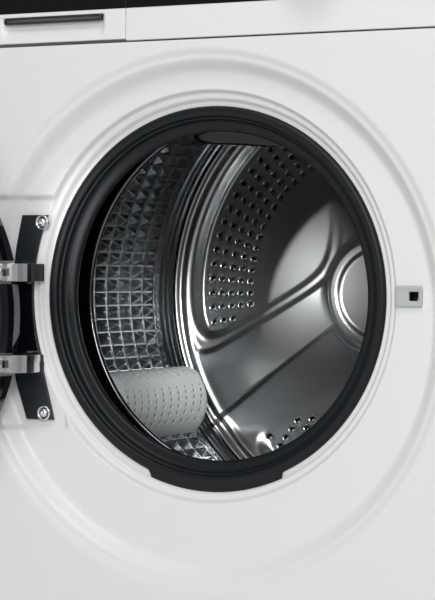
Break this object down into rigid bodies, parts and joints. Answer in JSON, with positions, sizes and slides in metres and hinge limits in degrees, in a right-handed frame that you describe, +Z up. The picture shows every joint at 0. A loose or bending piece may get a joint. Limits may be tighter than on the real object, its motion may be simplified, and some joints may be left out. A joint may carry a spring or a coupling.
{
  "type": "front load washing machine",
  "caption": "White front load washing machine with its round door open, rubber gasket, embossed steel drum, dispenser drawer, control band and sprung tub.",
  "frame": {"origin": "on the floor under the middle of the cabinet", "axes": "+Z up, the front panel with the porthole faces -Y, +X to the right seen from the front"},
  "size_m": [0.8963, 0.7577, 0.85],
  "materials": {
    "white_enamel": "satin",
    "galvanised": "satin",
    "steel": "polished",
    "chrome": "polished",
    "cast_metal": "matte",
    "dark_metal": "satin",
    "white_plastic": "satin",
    "grey_plastic": "matte",
    "dark_plastic": "gloss",
    "tub_plastic": "matte",
    "black_glass": "gloss",
    "bowl_glass": "clear",
    "gasket_rubber": "matte",
    "concrete": "rough"
  },
  "bodies": {
    "cabinet": {"cabinet_shell": "white_enamel", "base_frame": "galvanised", "front_panel": "white_enamel", "kick_panel": "white_enamel", "rear_cover": "galvanised", "worktop": "white_plastic", "top_brace": "galvanised", "fascia": "white_plastic", "display_glass": "black_glass", "dispenser_housing": "white_plastic", "inlet_valve": "grey_plastic", "drain_pump": "white_plastic", "drain_hose": "gasket_rubber", "cord_gland": "gasket_rubber", "door_lock": "white_plastic", "hinge_plate": "dark_metal", "hinge_cover": "dark_plastic", "hinge_lugs": "chrome", "hinge_pins": "chrome", "damper_cylinders": "grey_plastic"},
    "tub": {"tub_front": "tub_plastic", "tub_rear": "tub_plastic", "upper_counterweight": "concrete", "front_counterweight": "concrete", "heater": "steel", "bearings": "steel", "motor_housing": "dark_metal", "drive_belt": "gasket_rubber", "damper_rods": "galvanised", "gasket": "gasket_rubber", "suspension_springs": "galvanised", "sump_hose": "gasket_rubber", "spray_nozzle": "dark_plastic"},
    "drum": {"drum_shell": "steel", "drum_front": "steel", "drum_back": "steel", "lifter_1": "grey_plastic", "lifter_2": "grey_plastic", "lifter_3": "grey_plastic", "drum_spider": "cast_metal", "drum_pulley": "cast_metal"},
    "motor_rotor": {"motor_pulley": "cast_metal"},
    "door": {"door_frame": "dark_plastic", "door_glass": "bowl_glass", "door_inner_ring": "dark_plastic", "hinge_straps": "chrome", "door_hook": "steel"},
    "drawer": {"drawer_front": "white_plastic", "drawer_glass": "black_glass", "drawer_tray": "grey_plastic", "drawer_handle": "dark_plastic"},
    "knob": {"programme_knob": "grey_plastic"},
    "power": {"power_button": "grey_plastic"},
    "start": {"start_button": "grey_plastic"},
    "flap": {"filter_flap": "white_enamel"},
    "plug": {"filter_plug": "grey_plastic"},
    "foot_front_left": {"foot_1": "gasket_rubber"},
    "foot_front_right": {"foot_2": "gasket_rubber"},
    "foot_rear_left": {"foot_3": "gasket_rubber"},
    "foot_rear_right": {"foot_4": "gasket_rubber"}
  },
  "joints": [
    {"name": "door_swing", "type": "hinge", "parent": "cabinet", "child": "door", "pos_m": [-0.196, -0.306, 0.4562], "axis": [0, 0, -1], "range_deg": [-168, 0]},
    {"name": "drawer_slide", "type": "slide", "parent": "cabinet", "child": "drawer", "axis": [0, -1, 0], "range_m": [0, 0.17]},
    {"name": "knob_turn", "type": "hinge", "parent": "cabinet", "child": "knob", "pos_m": [0.11, -0.29, 0.7735], "axis": [0, 1, 0], "continuous": true},
    {"name": "power_press", "type": "slide", "parent": "cabinet", "child": "power", "axis": [0, 1, 0], "range_m": [0, 0.0015], "stiffness_N_per_m": 600, "springref_m": -0.001},
    {"name": "start_press", "type": "slide", "parent": "cabinet", "child": "start", "axis": [0, 1, 0], "range_m": [0, 0.0015], "stiffness_N_per_m": 600, "springref_m": -0.001},
    {"name": "flap_swing", "type": "hinge", "parent": "cabinet", "child": "flap", "pos_m": [0.207, -0.28875, 0.04405], "axis": [1, 0, 0], "range_deg": [0, 100]},
    {"name": "plug_turn", "type": "hinge", "parent": "cabinet", "child": "plug", "pos_m": [0.207, -0.2, 0.073], "axis": [0, -1, 0], "range_deg": [0, 450]},
    {"name": "tub_float", "type": "slide", "parent": "cabinet", "child": "tub", "axis": [0, 0, 1], "range_m": [-0.006, 0.006], "stiffness_N_per_m": 14000, "springref_m": 0.02957, "deforming": ["suspension_springs", "sump_hose", "gasket"]},
    {"name": "drum_spin", "type": "hinge", "parent": "tub", "child": "drum", "pos_m": [0, 0, 0.478], "axis": [0, 1, 0], "continuous": true},
    {"name": "motor_spin", "type": "hinge", "parent": "tub", "child": "motor_rotor", "pos_m": [-0.07, 0.19, 0.135], "axis": [0, 1, 0], "continuous": true},
    {"name": "level_front_left_turn", "type": "hinge", "parent": "cabinet", "child": "foot_front_left", "pos_m": [-0.253, -0.24, 0], "axis": [0, 0, 1], "continuous": true},
    {"name": "level_front_right_turn", "type": "hinge", "parent": "cabinet", "child": "foot_front_right", "pos_m": [0.253, -0.24, 0], "axis": [0, 0, 1], "continuous": true},
    {"name": "level_rear_left_turn", "type": "hinge", "parent": "cabinet", "child": "foot_rear_left", "pos_m": [-0.253, 0.24, 0], "axis": [0, 0, 1], "continuous": true},
    {"name": "level_rear_right_turn", "type": "hinge", "parent": "cabinet", "child": "foot_rear_right", "pos_m": [0.253, 0.24, 0], "axis": [0, 0, 1], "continuous": true}
  ],
  "couplings": [
    {"joint": "motor_spin", "follows": "drum_spin", "ratio": 12.727}
  ]
}
